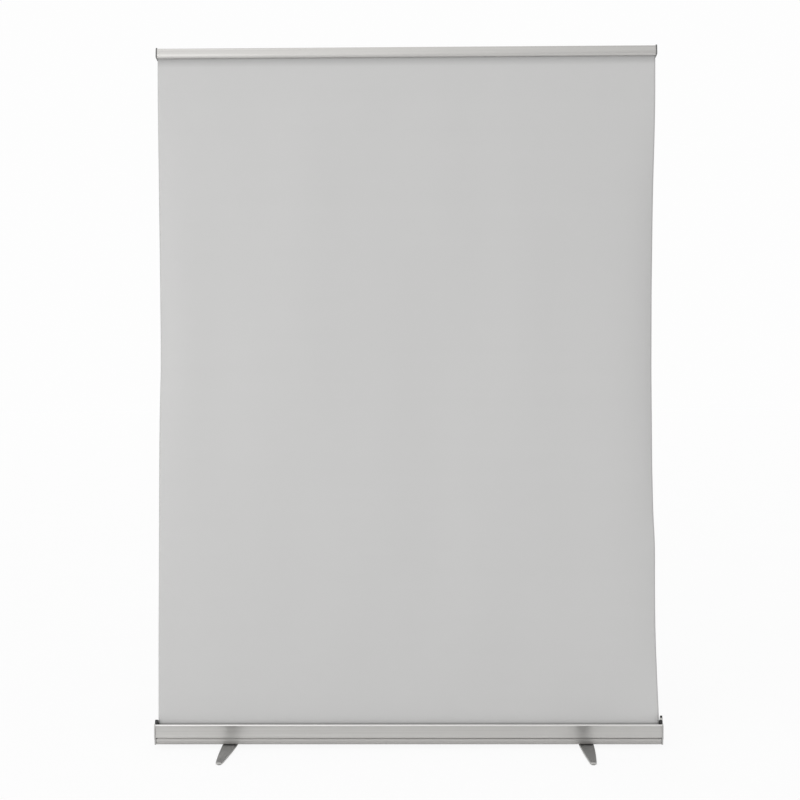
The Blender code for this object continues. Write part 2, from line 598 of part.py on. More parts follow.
def make_roller_shafts(axis, half):
    """Fixed parts in the roller: the idle axle, and the shaft that holds the spring."""
    outer = BEARING_OUTER - 0.0005
    idle = rod_profile(AXLE_RADIUS, -outer, -(half - PLUG_LENGTH - 0.004))
    add_object("roller_axle", turned(bmesh.new(), idle, 6, axis="X"), MATERIALS["steel"],
               parent=axis)
    shaft = rod_profile(AXLE_RADIUS, outer - SPRING_SHAFT_LENGTH, outer)
    add_object("spring_shaft", turned(bmesh.new(), shaft, 6, axis="X"), MATERIALS["steel"],
               parent=axis)
    anchor_low = outer - SPRING_SHAFT_LENGTH + 0.004
    anchor_high = anchor_low + 0.014
    anchor_radius = ROLLER_RADIUS - ROLLER_WALL - 0.002
    anchor = turned(bmesh.new(), ring_profile(AXLE_RADIUS + GAP, anchor_radius, anchor_low,
                                              anchor_high), 20, axis="X")
    add_object("spring_anchor", anchor, MATERIALS["white_plastic"], parent=axis)
    start = anchor_high + GAP + SPRING_WIRE_RADIUS
    end = half - PLUG_LENGTH - GAP - SPRING_WIRE_RADIUS
    make_torsion_spring(axis, start, end)


def make_torsion_spring(axis, start, end):
    curve = bpy.data.curves.new("torsion_spring", "CURVE")
    curve.dimensions = "3D"
    curve.bevel_depth = SPRING_WIRE_RADIUS
    curve.bevel_resolution = 1
    curve.use_fill_caps = True
    curve.resolution_u = 1
    curve.render_resolution_u = 0
    per_turn = 10
    count = SPRING_TURNS * per_turn + 1
    spline = curve.splines.new("POLY")
    spline.points.add(count - 1)
    for i in range(count):
        angle = math.tau * i / per_turn
        along = start + (end - start) * i / (count - 1)
        spline.points[i].co = (along, SPRING_COIL_RADIUS * math.cos(angle),
                               SPRING_COIL_RADIUS * math.sin(angle), 1.0)
    spring = bpy.data.objects.new("torsion_spring", curve)
    spring.data.materials.append(MATERIALS["steel"])
    spring.parent = axis
    bpy.context.scene.collection.objects.link(spring)


# ---------------------------------------------------------------- locking pin
def make_locking_pin():
    """Roller lock pin parked in the head of the right ear, pulled up by its cap."""
    low = EAR_TOP - PIN_DEPTH
    collar_low = EAR_TOP + GAP
    collar_top = collar_low + PIN_COLLAR_HEIGHT
    pivot = add_empty("locking_pin_axis", (PIN_X, PIN_Y, 0.0))
    shape = [(0.0, low), (PIN_RADIUS, low), (PIN_RADIUS, collar_low),
             (PIN_COLLAR_RADIUS, collar_low), (PIN_COLLAR_RADIUS, collar_top - 0.0008),
             (PIN_COLLAR_RADIUS - 0.0008, collar_top), (0.0, collar_top)]
    add_object("locking_pin", turned(bmesh.new(), shape, 16), MATERIALS["steel"], parent=pivot)
    cap_low = collar_top + GAP
    cap_top = cap_low + PIN_CAP_HEIGHT
    cap_half = PIN_CAP_WIDTH / 2
    outline = [(-cap_half, cap_low), (cap_half, cap_low), (cap_half, cap_top - 0.0030),
               (-cap_half + 0.0014, cap_top), (-cap_half, cap_top - 0.0010)]
    cap = extruded(bmesh.new(), outline, -cap_half + 0.0006, cap_half - 0.0006)
    add_object("locking_pin_cap", cap, MATERIALS["black_plastic"], parent=pivot)


# ---------------------------------------------------------------- telescopic poles
def section_bottoms():
    lower = POLE_BOTTOM
    middle = lower + SECTION_LENGTH - POLE_OVERLAP
    upper = middle + SECTION_LENGTH - POLE_OVERLAP
    return lower, middle, upper


def tube(name, radius, low, high, parent):
    profile = ring_profile(radius - POLE_WALL, radius, low, high)
    return add_object(name, turned(bmesh.new(), profile, 24), MATERIALS["aluminium"],
                      parent=parent)


def guide_bush(name, radius, bore, low, parent, flange):
    """Plug in a tube's lower end. Its flange runs in the wider tube below."""
    spigot = radius - POLE_WALL - GAP
    profile = [(bore, low), (flange, low), (flange, low + BUSH_FLANGE), (spigot, low + BUSH_FLANGE),
               (spigot, low + BUSH_FLANGE + BUSH_LENGTH), (bore, low + BUSH_FLANGE + BUSH_LENGTH)]
    if bore == 0.0:
        profile = profile[:-1] + [(0.0, low + BUSH_FLANGE + BUSH_LENGTH)]
    return add_object(name, turned(bmesh.new(), profile, 24), MATERIALS["black_plastic"],
                      parent=parent)


def twist_collar(name, wide, narrow, top, parent):
    """Twist-lock collar: seated on the wider tube's end, closed round the narrower tube."""
    low = top - COLLAR_SEAT
    high = low + COLLAR_HEIGHT
    profile = [(wide + GAP, low), (COLLAR_RADIUS - 0.0012, low), (COLLAR_RADIUS, low + 0.0020),
               (COLLAR_RADIUS, high - 0.0080), (narrow + 0.0030, high), (narrow + GAP, high),
               (narrow + GAP, top + GAP), (wide + GAP, top + GAP)]
    return add_object(name, turned(bmesh.new(), profile, 24), MATERIALS["black_plastic"],
                      parent=parent)


def make_pole(name, side):
    """One three-section pole: lower in the cassette, middle sliding, upper under the rail."""
    x = side * POLE_SPACING / 2
    lower, middle, upper = section_bottoms()
    base = add_empty("pole_base_" + name, (x, POLE_Y, 0.0))
    slide = add_empty("pole_slide_" + name, (x, POLE_Y, 0.0))
    head = add_empty("pole_top_" + name, (x, POLE_Y, 0.0))
    seat = lower + BUSH_FLANGE + GAP
    tube("pole_lower_" + name, POLE_RADIUS, seat, lower + SECTION_LENGTH, base)
    guide_bush("pole_foot_plug_" + name, POLE_RADIUS, 0.0, lower, base, POLE_RADIUS)
    tube("pole_middle_" + name, MIDDLE_POLE_RADIUS, middle + BUSH_FLANGE + GAP,
         middle + SECTION_LENGTH, slide)
    guide_bush("pole_middle_bush_" + name, MIDDLE_POLE_RADIUS, 0.0040, middle, slide,
               POLE_RADIUS - POLE_WALL - GAP)
    tube("pole_upper_" + name, UPPER_POLE_RADIUS, upper + BUSH_FLANGE + GAP, HEAD_SEAT, head)
    guide_bush("pole_upper_bush_" + name, UPPER_POLE_RADIUS, 0.0030, upper, head,
               MIDDLE_POLE_RADIUS - POLE_WALL - GAP)
    twist_collar("pole_lower_collar_" + name, POLE_RADIUS, MIDDLE_POLE_RADIUS,
                 lower + SECTION_LENGTH, base)
    twist_collar("pole_upper_collar_" + name, MIDDLE_POLE_RADIUS, UPPER_POLE_RADIUS,
                 middle + SECTION_LENGTH, slide)
    make_pole_head(name, head)


def make_pole_head(name, parent):
    """Plastic head on the pole: a plug in the tube, and a T-foot held in the rail's channel."""
    back = RAIL_DEPTH_BEHIND
    middle = RAIL_BOTTOM + CHANNEL_MIDDLE
    neck = CHANNEL_MOUTH_HALF - GAP
    wing = CHANNEL_HALF_HEIGHT - GAP
    low = HEAD_SEAT + GAP
    rear = POLE_Y + UPPER_POLE_RADIUS
    lip_inner = RAIL_Y + back - RAIL_WALL - GAP
    wing_front = lip_inner - 0.0025
    block_front = RAIL_Y + back + GAP
    world = [(wing_front, middle - wing), (lip_inner, middle - wing), (lip_inner, middle - neck),
             (block_front, middle - neck), (block_front, low), (rear, low),
             (rear, middle + neck - 0.003), (rear - 0.003, middle + neck),
             (lip_inner, middle + neck), (lip_inner, middle + wing), (wing_front, middle + wing)]
    outline = [(y - POLE_Y, z) for y, z in world]
    bm = extruded(bmesh.new(), outline, -HEAD_WIDTH / 2, HEAD_WIDTH / 2)
    head = add_object("pole_head_" + name, bm, MATERIALS["black_plastic"], parent=parent)
    plug = rod_profile(UPPER_POLE_RADIUS - POLE_WALL - GAP, HEAD_SEAT - 0.018, low + 0.003)
    spigot = add_object("pole_head_spigot_" + name, turned(bmesh.new(), plug, 24),
                        MATERIALS["black_plastic"], parent=parent)
    boolean(head, spigot, "UNION")
    return head


# ---------------------------------------------------------------- clamp rail
def rail_points(points):
    """Turn (distance behind the graphic, height above the rail's bottom) into world (y, z)."""
    return [(RAIL_Y + back, RAIL_BOTTOM + height) for back, height in points]


def hinge_arc(radius, start, end, steps):
    return arc(HINGE_SETBACK, RAIL_HEIGHT - HINGE_OUTER_RADIUS, radius, start, end, steps)


def hinge_point(radius, angle):
    return hinge_arc(radius, angle, angle, 1)[0]


def make_rail_body(parent):
    """Rear extrusion: hinge socket at the top, clamp leg behind the graphic, T-channel behind."""
    leg = CLAMP_FACE
    back = RAIL_DEPTH_BEHIND
    ceiling = CHANNEL_MIDDLE + CHANNEL_HALF_HEIGHT
    floor = CHANNEL_MIDDLE - CHANNEL_HALF_HEIGHT
    socket = HINGE_BEAD_RADIUS + GAP
    outline = [(leg, 0.0008), (leg, ceiling - 0.0005)]
    outline.append(hinge_point(HINGE_OUTER_RADIUS, -60))
    outline += hinge_arc(socket, -60, 130, 9)
    outline += hinge_arc(HINGE_OUTER_RADIUS, 130, 90, 3)
    outline += arc(back - 0.0015, RAIL_HEIGHT - 0.0015, 0.0015, 90, 0, 3)
    outline += [(back, CHANNEL_MIDDLE + CHANNEL_MOUTH_HALF),
                (back - RAIL_WALL, CHANNEL_MIDDLE + CHANNEL_MOUTH_HALF),
                (back - RAIL_WALL, ceiling), (CHANNEL_FRONT, ceiling), (CHANNEL_FRONT, floor),
                (back - RAIL_WALL, floor), (back - RAIL_WALL, CHANNEL_MIDDLE - CHANNEL_MOUTH_HALF),
                (back, CHANNEL_MIDDLE - CHANNEL_MOUTH_HALF), (back, floor - RAIL_WALL),
                (leg + RAIL_WALL, floor - RAIL_WALL), (leg + RAIL_WALL, 0.0008)]
    half = GRAPHIC_WIDTH / 2
    bm = extruded(bmesh.new(), rail_points(outline), -half, half)
    body = add_object("rail_body", bm, MATERIALS["aluminium"], parent=parent)
    cavity = extruded(bmesh.new(), rail_points(rail_cavity(0.0)), -half - 0.01, half + 0.01)
    cutter = add_object("rail_cavity", cavity, MATERIALS["aluminium"], parent=parent)
    boolean(body, cutter, "DIFFERENCE")
    return body


def rail_cavity(shrink):
    """Hollow along the top of the rail body, which also takes the end caps' spigots."""
    low = CHANNEL_MIDDLE + CHANNEL_HALF_HEIGHT + RAIL_WALL + shrink
    high = RAIL_HEIGHT - RAIL_WALL - shrink
    front = 0.0018 + shrink
    back = RAIL_DEPTH_BEHIND - RAIL_WALL - shrink
    return [(front, low), (back, low), (back, high), (front, high)]


def make_rail_jaw(parent):
    """Front jaw: a bead in the rail's hinge socket, a curved shell and a clamp lip."""
    shell_outer, shell_inner = 0.0054, 0.0040
    neck = 0.00075
    bead = HINGE_BEAD_RADIUS
    neck_at = 215.0
    bead_turn = math.degrees(math.asin(neck / bead))
    inner_turn = math.degrees(math.asin(neck / shell_inner))
    lip = CLAMP_FACE
    outline = hinge_arc(shell_outer, 150, 190, 4)
    outline += [(-0.0091, 0.0215), (-0.0103, 0.0140), (-0.0105, 0.0090), (-0.0096, 0.0046),
                (-0.0074, 0.0016), (-0.0044, 0.0002), (-0.0016, 0.0), (-lip, 0.0007),
                (-lip, 0.0032), (-0.0019, 0.0032), (-0.0022, 0.0017), (-0.0046, 0.0017),
                (-0.0067, 0.0028), (-0.0084, 0.0052), (-0.0091, 0.0092), (-0.0089, 0.0138),
                (-0.0077, 0.0213)]
    outline.append(hinge_point(shell_inner, neck_at + inner_turn))
    outline += hinge_arc(bead, neck_at + bead_turn, neck_at - bead_turn + 360, 12)
    outline += hinge_arc(shell_inner, neck_at - inner_turn, 150, 4)
    hinge = add_empty("rail_jaw_hinge", (0.0, HINGE_Y, HINGE_Z))
    hinge.parent = parent
    half = GRAPHIC_WIDTH / 2 - GAP
    local = [(y - HINGE_Y, z - HINGE_Z) for y, z in rail_points(outline)]
    add_object("rail_jaw", extruded(bmesh.new(), local, -half, half), MATERIALS["aluminium"],
               parent=hinge)


def make_rail_cap(name, side, parent):
    """End cap: a plate over the rail's whole section, with a spigot in the body's hollow."""
    proud = RAIL_CAP_PROUD
    front, back = -0.0105 - proud * 0.4, RAIL_DEPTH_BEHIND + proud * 0.4
    low, high = -proud, RAIL_HEIGHT + proud
    r = 0.004
    plate = arc(front + r + 0.002, high - r, r, 90, 160, 4)
    plate += arc(front + r, low + r + 0.004, r, 180, 250, 4)
    plate += arc(back - r, low + r, r, 270, 360, 4)
    plate += arc(back - r, high - r, r, 0, 90, 4)
    inner = GRAPHIC_WIDTH / 2 + GAP
    bm = extruded(bmesh.new(), rail_points(plate), side * inner, side * (inner + RAIL_CAP_THICK))
    cap = add_object("rail_cap_" + name, bm, MATERIALS["grey_plastic"], parent=parent)
    shape = rail_points(rail_cavity(0.0004))
    spigot = extruded(bmesh.new(), shape, side * (inner + 0.001), side * (inner - 0.016))
    boolean(cap, add_object("rail_cap_spigot_" + name, spigot, MATERIALS["grey_plastic"],
                            parent=parent), "UNION")


def make_rail():
    rail = add_empty("rail_carriage", (0.0, 0.0, 0.0))
    make_rail_body(rail)
    make_rail_jaw(rail)
    for name, side in SIDES.items():
        make_rail_cap(name, side, rail)


# ---------------------------------------------------------------- graphic
def make_graphic():
    """The printed film, taut from the roll's front to the clamp, leaning back a little."""
    half_thick = GRAPHIC_THICK / 2
    clamp_top = RAIL_BOTTOM + CHANNEL_MIDDLE
    line = [(GRAPHIC_FOOT_Y, ROLLER_HEIGHT), (RAIL_Y, RAIL_BOTTOM), (RAIL_Y, clamp_top)]
    outline = [(y - half_thick, z) for y, z in line]
    outline += [(y + half_thick, z) for y, z in reversed(line)]
    half = GRAPHIC_WIDTH / 2
    add_object("graphic", extruded(bmesh.new(), outline, -half, half), MATERIALS["film"])


MATERIALS = {}


def make_materials():
    table = {
        "aluminium": ((0.52, 0.51, 0.49), 0.42, 0.8),
        "painted": ((0.47, 0.47, 0.46), 0.5, 0.1),
        "foot_grey": ((0.22, 0.22, 0.21), 0.45, 0.3),
        "black_plastic": ((0.02, 0.02, 0.02), 0.5, 0.0),
        "grey_plastic": ((0.17, 0.17, 0.17), 0.5, 0.0),
        "white_plastic": ((0.75, 0.75, 0.72), 0.5, 0.0),
        "steel": ((0.56, 0.56, 0.55), 0.3, 1.0),
        "galvanised": ((0.45, 0.46, 0.47), 0.4, 1.0),
        "rubber": ((0.03, 0.03, 0.03), 0.8, 0.0),
        "film": ((0.58, 0.58, 0.57), 0.6, 0.0),
        "film_back": ((0.5, 0.5, 0.5), 0.6, 0.0),
    }
    for name, (colour, roughness, metallic) in table.items():
        MATERIALS[name] = make_material(name, colour, roughness, metallic)


def main():
    clear_scene()
    make_materials()
    make_cassette()
    make_roller()
    make_locking_pin()
    for name, side in SIDES.items():
        make_foot(name, side, FOOT_TURN)
        make_pole(name, side)
    make_rail()
    make_graphic()


main()
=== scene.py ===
import math

import bmesh
import bpy
import numpy as np
from mathutils import Matrix, Vector


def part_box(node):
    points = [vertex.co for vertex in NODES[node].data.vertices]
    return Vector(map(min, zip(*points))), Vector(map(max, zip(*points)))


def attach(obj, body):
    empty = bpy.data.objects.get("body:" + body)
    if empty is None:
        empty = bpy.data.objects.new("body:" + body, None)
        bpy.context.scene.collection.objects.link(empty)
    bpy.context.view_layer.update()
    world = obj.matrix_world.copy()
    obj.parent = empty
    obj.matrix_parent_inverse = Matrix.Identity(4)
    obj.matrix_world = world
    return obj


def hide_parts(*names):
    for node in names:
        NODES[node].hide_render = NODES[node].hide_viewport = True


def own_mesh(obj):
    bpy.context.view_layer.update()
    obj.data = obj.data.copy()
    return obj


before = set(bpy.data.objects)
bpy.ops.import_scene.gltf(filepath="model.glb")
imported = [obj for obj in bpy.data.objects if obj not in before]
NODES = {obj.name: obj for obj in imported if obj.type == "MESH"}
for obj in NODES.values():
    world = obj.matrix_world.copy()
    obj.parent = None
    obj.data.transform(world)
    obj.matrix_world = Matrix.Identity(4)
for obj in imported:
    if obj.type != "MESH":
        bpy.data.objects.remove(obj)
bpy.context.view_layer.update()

# ---------------------------------------------------------------- film
FILM_THICK = 0.0005
FILM_COLUMNS = 240
FILM_ROWS = 120
CURL_ZONE = {"left": 0.15, "right": 0.18}    # outer strip of the film that curls backwards
CURL_POWER = 2.0                             # how fast the strip turns towards its edge
# How far the film has turned back at its very edge: (height, degrees), chosen along the height.
CURL_TURN = {
    "left": ((0.10, 0.0), (0.36, 1.4), (0.47, 5.0), (0.69, 8.5), (0.83, 11.0), (0.94, 14.5),
             (1.05, 20.0), (1.12, 25.5), (1.23, 26.0), (1.48, 20.0), (1.63, 14.0), (1.74, 10.5),
             (1.85, 4.5), (1.96, 0.0)),
    "right": ((0.08, 0.0), (0.18, 12.5), (0.29, 21.0), (0.36, 24.0), (0.47, 25.0), (0.58, 23.5),
              (0.62, 25.0), (0.69, 32.5), (0.83, 37.0), (1.12, 39.0), (1.37, 36.0), (1.48, 32.5),
              (1.62, 28.0), (1.73, 21.5), (1.84, 12.0), (1.95, 3.0), (2.05, 0.0)),
}
CURL_SOFTEN = 0.030                          # the turn is averaged over this height each way
# Long shallow waves across the film: (depth, wavelength across, lean with height, phase).
FILM_WAVES = ((0.0016, 0.62, 0.10, 0.4), (0.0009, 0.37, -0.16, 2.1), (0.0005, 0.21, 0.07, 4.0))
WAVE_START = 0.01                            # the waves start this far above the lip
WAVE_RISE, WAVE_FALL = 0.30, 0.25            # heights over which they grow and die away

# ---------------------------------------------------------------- painted light and shade
LIP_BEAD = (-0.0440, 0.0680)                 # painted highlight, and added roughness, in front of this y and above this z
# Painted highlight: the lip's bead gets a lighter colour.
BEAD_PAINTED_HIGHLIGHT = (0.78, 0.772, 0.760)
BEAD_ROUGHER = 0.12                          # roughness that rubbing adds to the bead
GROOVE = (0.0280, 0.0330, -0.0447)           # lowest, highest, and where it starts behind the face
# Painted shade: darker colour inside the groove.
GROOVE_PAINTED_SHADE = (0.46, 0.45, 0.437)
LOW_FRONT = (0.0225, -0.0300)                # painted shade below this z and in front of this y
LOW_PAINTED_SHADE = (0.56, 0.55, 0.535)
JAW_PAINTED_LIGHT_BELOW = 2.0745                             # painted lighter below this height
# Painted light: lighter colour for the jaw's underside.
JAW_PAINTED_LIGHT = (0.68, 0.67, 0.655)
# Painted shadow on the film, at the cassette's slot and under the rail: height, how far it fades, and
# what is left of its tone.
PAINTED_SHADOW_LINES = ((0.0700, 0.0060, 0.66), (2.0720, -0.0240, 0.72))

# ---------------------------------------------------------------- carried-over pieces
WELD_DISTANCE = 0.000002
FLAT_ANGLE, BREAK_ANGLE, SPLIT_ANGLE = 0.3, 42.0, 36.0           # degrees
EDGE_BREAK = {                               # rounding of each piece's sharp edges
    "cassette_end_plate": 0.0005, "rail_cap": 0.0006, "foot_left": 0.0004, "foot_right": 0.0004,
    "pole_head": 0.0005, "locking_pin": 0.0003, "rail_body": 0.00025, "bearing_plate": 0.0004,
    "foot_washer": 0.0003, "pole_socket": 0.0003,
}

# ---------------------------------------------------------------- detail pieces
CRISP_ANGLE = 30.0                           # degrees; sharper edges than this stay crisp
COLLAR_BORES = {"lower": (0.0098, 0.0083), "upper": (0.0083, 0.0068)}    # wide, narrow radius
BORE_STEP = 0.0283                           # the bore narrows this far above the collar's foot
GRIP_RIBS = 24
GRIP_RIB_DEPTH = 0.0007
RIB_POINTS = 4                               # points of the outline per rib
RIBS_FROM, RIBS_TO = 0.0050, 0.0296          # above the collar's foot
RIB_RUNOUT = 0.0006
GRIP_LEAD_IN = (0.0012, 0.0020)              # chamfer of the collar's foot: inwards, upwards
GRIP_NOSE = (0.0026, 0.0080)                 # tapered top: its wall at the tip, its height
SCREW_SIDES = 24
SCREW_SHOULDER = 0.0012                      # the head's radius less the shank's
SCREW_TIP = 0.6                              # share of the shank's radius left at its tip
SCREW_CONE = 0.0015                          # depth of the countersink, and of the tip's taper
CROSS_HALF, CROSS_DEPTH = 0.00035, 0.0010
CROSS_REACH, CROSS_TAPER = 0.62, 0.8         # shares: arm of the head's radius, floor of the top

# ---------------------------------------------------------------- light and camera
CAMERA_PLACE = (0.0132, -3.2, 1.068)
CAMERA_YAW, CAMERA_PITCH, CAMERA_ROLL = 0.617, -0.482, -0.208    # degrees
CAMERA_LENS = 47.7
SENSOR = 36.0
FAR_CLIP = 200.0
# Soft boxes: name, place, point it faces, width, height, watts.
SOFT_BOXES = (
    ("key_left", (-2.9, -3.9, 1.2), (-0.2, 0.0, 0.9), 4.6, 3.0, 62.0),
    ("softbox_upper_left", (-1.3, -3.4, 3.3), (-0.3, 0.0, 1.9), 3.4, 1.2, 9.0),
    ("fill_right", (3.1, -1.5, 0.7), (0.7, 0.0, 0.8), 1.4, 1.0, 8.0),
)
BRIGHT_SIDE = (-0.30, -0.35, 0.81)           # where the soft surround is brightest
SURROUND_DIM, SURROUND_BRIGHT = 0.32, 1.06
SURROUND_FADE = (0.45, 0.97)                 # 0 faces away from the bright side, 1 faces it
BACKDROP = 0.985
FLOOR_RADIUS = 60.0
FLOOR_GLOW = 0.905


# ---------------------------------------------------------------- helpers
def smoothstep(t):
    t = np.clip(t, 0.0, 1.0)
    return t * t * (3.0 - 2.0 * t)


def new_object(name, bm, materials):
    mesh = bpy.data.meshes.new(name)
    bm.to_mesh(mesh)
    bm.free()
    obj = bpy.data.objects.new(name, mesh)
    for material in materials:
        mesh.materials.append(material)
    bpy.context.scene.collection.objects.link(obj)
    return obj


def bridge(bm, lower, upper):
    """Join two rings of as many points with a band of faces."""
    for i in range(len(lower)):
        j = (i + 1) % len(lower)
        bm.faces.new((lower[i], lower[j], upper[j], upper[i]))


def split_edges(obj, degrees):
    split = obj.modifiers.new("sharp_edges", "EDGE_SPLIT")
    split.split_angle = math.radians(degrees)
    split.use_edge_sharp = False


# ---------------------------------------------------------------- material building
def start_material(name, metallic=0.0):
    material = bpy.data.materials.new(name)
    material.use_nodes = True
    tree = material.node_tree
    shader = tree.nodes["Principled BSDF"]
    shader.inputs["Metallic"].default_value = metallic
    return material, tree, shader


def stretched_space(tree, density):
    """Object coordinates times density per metre along each axis."""
    coords = tree.nodes.new("ShaderNodeTexCoord")
    mapping = tree.nodes.new("ShaderNodeMapping")
    mapping.inputs["Scale"].default_value = density
    tree.links.new(coords.outputs["Object"], mapping.inputs["Vector"])
    return mapping.outputs["Vector"]


def noise(tree, density, detail=3.0, roughness=0.5):
    texture = tree.nodes.new("ShaderNodeTexNoise")
    texture.inputs["Scale"].default_value = 1.0
    texture.inputs["Detail"].default_value = detail
    texture.inputs["Roughness"].default_value = roughness
    tree.links.new(stretched_space(tree, density), texture.inputs["Vector"])
    return texture.outputs["Fac"]


def cells(tree, density, output="Distance"):
    texture = tree.nodes.new("ShaderNodeTexVoronoi")
    texture.inputs["Scale"].default_value = 1.0
    tree.links.new(stretched_space(tree, density), texture.inputs["Vector"])
    return texture.outputs[output]


def spread(tree, factor, low, high, start=0.3, end=0.7):
    """A number that goes from low to high as factor goes from start to end."""
    node = tree.nodes.new("ShaderNodeMapRange")
    for socket, value in (("From Min", start), ("From Max", end), ("To Min", low), ("To Max", high)):
        node.inputs[socket].default_value = value
    tree.links.new(factor, node.inputs["Value"])
    return node.outputs["Result"]


def tint(tree, factor, dark, light, start=0.3, end=0.7):
    """A colour that goes from dark to light as factor goes from start to end."""
    node = tree.nodes.new("ShaderNodeValToRGB")
    first, last = node.color_ramp.elements
    first.position, last.position = start, end
    first.color, last.color = (*dark, 1.0), (*light, 1.0)
    tree.links.new(factor, node.inputs["Fac"])
    return node.outputs["Color"]


def overlay(tree, under, over, factor, kind="MIX"):
    """Mix the colour over onto under. Over may be a colour or a socket, factor a number or a socket."""
    node = tree.nodes.new("ShaderNodeMix")
    node.data_type = "RGBA"
    node.blend_type = kind
    sockets = {s.identifier: s for s in node.inputs}
    tree.links.new(under, sockets["A_Color"])
    if isinstance(over, tuple):
        sockets["B_Color"].default_value = (*over, 1.0)
    else:
        tree.links.new(over, sockets["B_Color"])
    if isinstance(factor, float):
        sockets["Factor_Float"].default_value = factor
    else:
        tree.links.new(factor, sockets["Factor_Float"])
    return next(s for s in node.outputs if s.identifier == "Result_Color")


def product(tree, first, second):
    node = tree.nodes.new("ShaderNodeMath")
    node.operation = "MULTIPLY"
    tree.links.new(first, node.inputs[0])
    tree.links.new(second, node.inputs[1])
    return node.outputs["Value"]


def place_of(tree):
    """Where the point is in its piece's own frame: outputs X, Y and Z in metres."""
    coords = tree.nodes.new("ShaderNodeTexCoord")
    parts = tree.nodes.new("ShaderNodeSeparateXYZ")
    tree.links.new(coords.outputs["Object"], parts.inputs["Vector"])
    return parts.outputs


def bump(tree, height, distance, strength=1.0, after=None):
    node = tree.nodes.new("ShaderNodeBump")
    node.inputs["Distance"].default_value = distance
    node.inputs["Strength"].default_value = strength
    tree.links.new(height, node.inputs["Height"])
    if after is not None:
        tree.links.new(after, node.inputs["Normal"])
    return node.outputs["Normal"]


def wire_up(tree, shader, colour, roughness, normal):
    tree.links.new(colour, shader.inputs["Base Color"])
    tree.links.new(roughness, shader.inputs["Roughness"])
    tree.links.new(normal, shader.inputs["Normal"])


def along(axis, low, high):
    """Density of a pattern drawn out along one axis: low per metre there, high across it."""
    return tuple(low if a == axis else high for a in range(3))


# ---------------------------------------------------------------- materials
def cassette_painted_light_and_shade(tree, base, roughness):
    """Painted highlight on the lip's bead, which is also made rougher; painted shade in the groove and
    along the foot of the front.
    """
    place = place_of(tree)
    bead = product(tree, spread(tree, place["Y"], 1.0, 0.0, LIP_BEAD[0] - 0.001, LIP_BEAD[0]),
                   spread(tree, place["Z"], 0.0, 1.0, LIP_BEAD[1], LIP_BEAD[1] + 0.001))
    # painted highlight: lighter colour on the front of the lip's bead
    base = overlay(tree, base, BEAD_PAINTED_HIGHLIGHT, bead)
    # painted shade in the groove
    groove = product(tree, spread(tree, place["Z"], 0.0, 1.0, GROOVE[0] - 0.0006, GROOVE[0]),
                     spread(tree, place["Z"], 1.0, 0.0, GROOVE[1], GROOVE[1] + 0.0004))
    groove = product(tree, groove, spread(tree, place["Y"], 0.0, 1.0, GROOVE[2], GROOVE[2] + 0.001))
    base = overlay(tree, base, GROOVE_PAINTED_SHADE, groove)
    # painted shade along the foot of the front
    low = product(tree, spread(tree, place["Z"], 1.0, 0.0, LOW_FRONT[0], LOW_FRONT[0] + 0.002),
                  spread(tree, place["Y"], 1.0, 0.0, LOW_FRONT[1], LOW_FRONT[1] + 0.010))
    base = overlay(tree, base, LOW_PAINTED_SHADE, low)
    rougher = tree.nodes.new("ShaderNodeMath")
    rougher.operation = "MULTIPLY_ADD"
    tree.links.new(bead, rougher.inputs[0])
    rougher.inputs[1].default_value = BEAD_ROUGHER
    tree.links.new(roughness, rougher.inputs[2])
    return base, rougher.outputs["Value"]


def jaw_painted_light(tree, base, roughness):
    """Painted light: the jaw's colour made lighter below a given height, along its underside."""
    share = spread(tree, place_of(tree)["Z"], 1.0, 0.0, JAW_PAINTED_LIGHT_BELOW, JAW_PAINTED_LIGHT_BELOW + 0.004)
    return overlay(tree, base, JAW_PAINTED_LIGHT, share), roughness


def extruded_aluminium(name, axis, colour, rough, painted_light_and_shade=None):
    """Satin anodised extrusion: fine die lines along its length, faint clouds and rub marks."""
    material, tree, shader = start_material(name, metallic=1.0)
    fine = noise(tree, along(axis, 3.0, 2600.0), detail=5.0, roughness=0.65)
    broad = noise(tree, along(axis, 1.2, 260.0), detail=3.0)
    cloud = noise(tree, along(axis, 2.5, 9.0), detail=2.0)
    dark = tuple(c * 0.93 for c in colour)
    light = tuple(min(1.0, c * 1.06) for c in colour)
    base = tint(tree, broad, dark, light)
    base = overlay(tree, base, tuple(c * 0.96 for c in colour), spread(tree, cloud, 0.0, 0.5))
    rubs = spread(tree, noise(tree, along(axis, 14.0, 190.0), detail=5.0, roughness=0.7),
                  0.0, 0.35, 0.66, 0.80)
    base = overlay(tree, base, tuple(min(1.0, c * 1.18) for c in colour), rubs)
    roughness = spread(tree, fine, rough - 0.05, rough + 0.07)
    # painted light and shade laid onto the colour, with the roughness it changes
    if painted_light_and_shade is not None:
        base, roughness = painted_light_and_shade(tree, base, roughness)
    normal = bump(tree, fine, 0.00002, 0.55)
    normal = bump(tree, broad, 0.00004, 0.35, after=normal)
    wire_up(tree, shader, base, roughness, normal)
    return material


